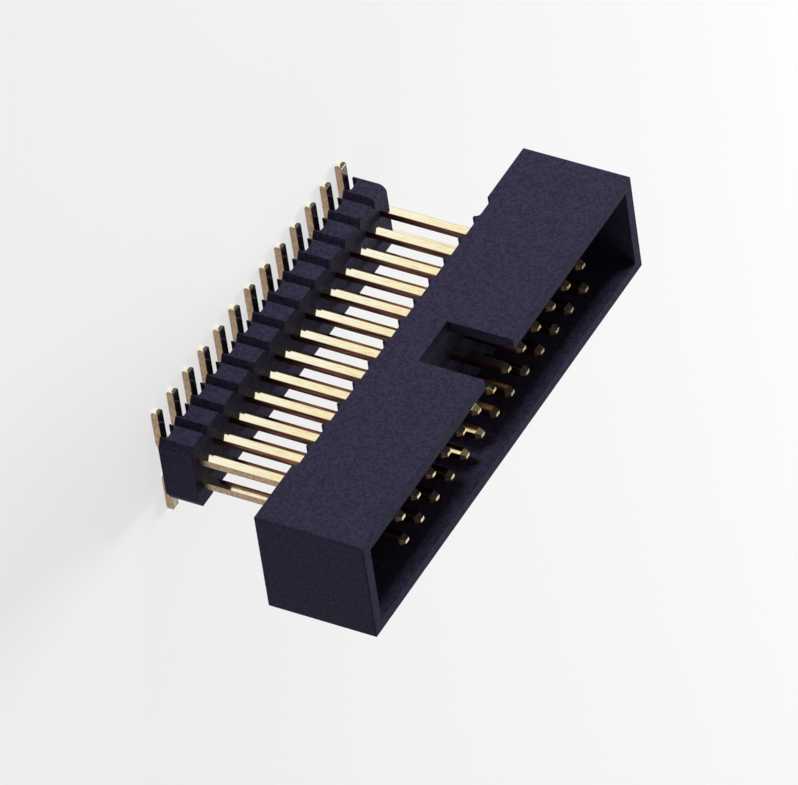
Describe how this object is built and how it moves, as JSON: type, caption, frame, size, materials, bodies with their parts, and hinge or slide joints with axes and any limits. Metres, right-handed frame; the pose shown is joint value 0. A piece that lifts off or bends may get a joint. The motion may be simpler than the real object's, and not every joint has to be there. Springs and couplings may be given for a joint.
{
  "type": "idc box header",
  "caption": "Fine-pitch shrouded box header for a flat-cable plug, raised above the board on a spacer strip, with gull-wing solder feet and a polarising slot.",
  "frame": {"origin": "centre of the contact rows on the board plane, under the solder feet", "axes": "+Z away from the board, the way the cable plug leaves; X along the rows; +Y towards the polarising slot"},
  "size_m": [0.0226, 0.0052, 0.0113],
  "materials": {
    "shroud_plastic": "fine moulded matt black",
    "spacer_plastic": "fine moulded matt black",
    "contact_gold": "pale gold plate over copper alloy, polished"
  },
  "bodies": {
    "root": {"shroud": "shroud_plastic", "spacer_strip": "spacer_plastic", "pin_a01": "contact_gold", "pin_a02": "contact_gold", "pin_a03": "contact_gold", "pin_a04": "contact_gold", "pin_a05": "contact_gold", "pin_a06": "contact_gold", "pin_a07": "contact_gold", "pin_a08": "contact_gold", "pin_a09": "contact_gold", "pin_a10": "contact_gold", "pin_a11": "contact_gold", "pin_a12": "contact_gold", "pin_a13": "contact_gold", "pin_b01": "contact_gold", "pin_b02": "contact_gold", "pin_b03": "contact_gold", "pin_b04": "contact_gold", "pin_b05": "contact_gold", "pin_b06": "contact_gold", "pin_b07": "contact_gold", "pin_b08": "contact_gold", "pin_b09": "contact_gold", "pin_b10": "contact_gold", "pin_b11": "contact_gold", "pin_b12": "contact_gold", "pin_b13": "contact_gold"}
  },
  "joints": []
}
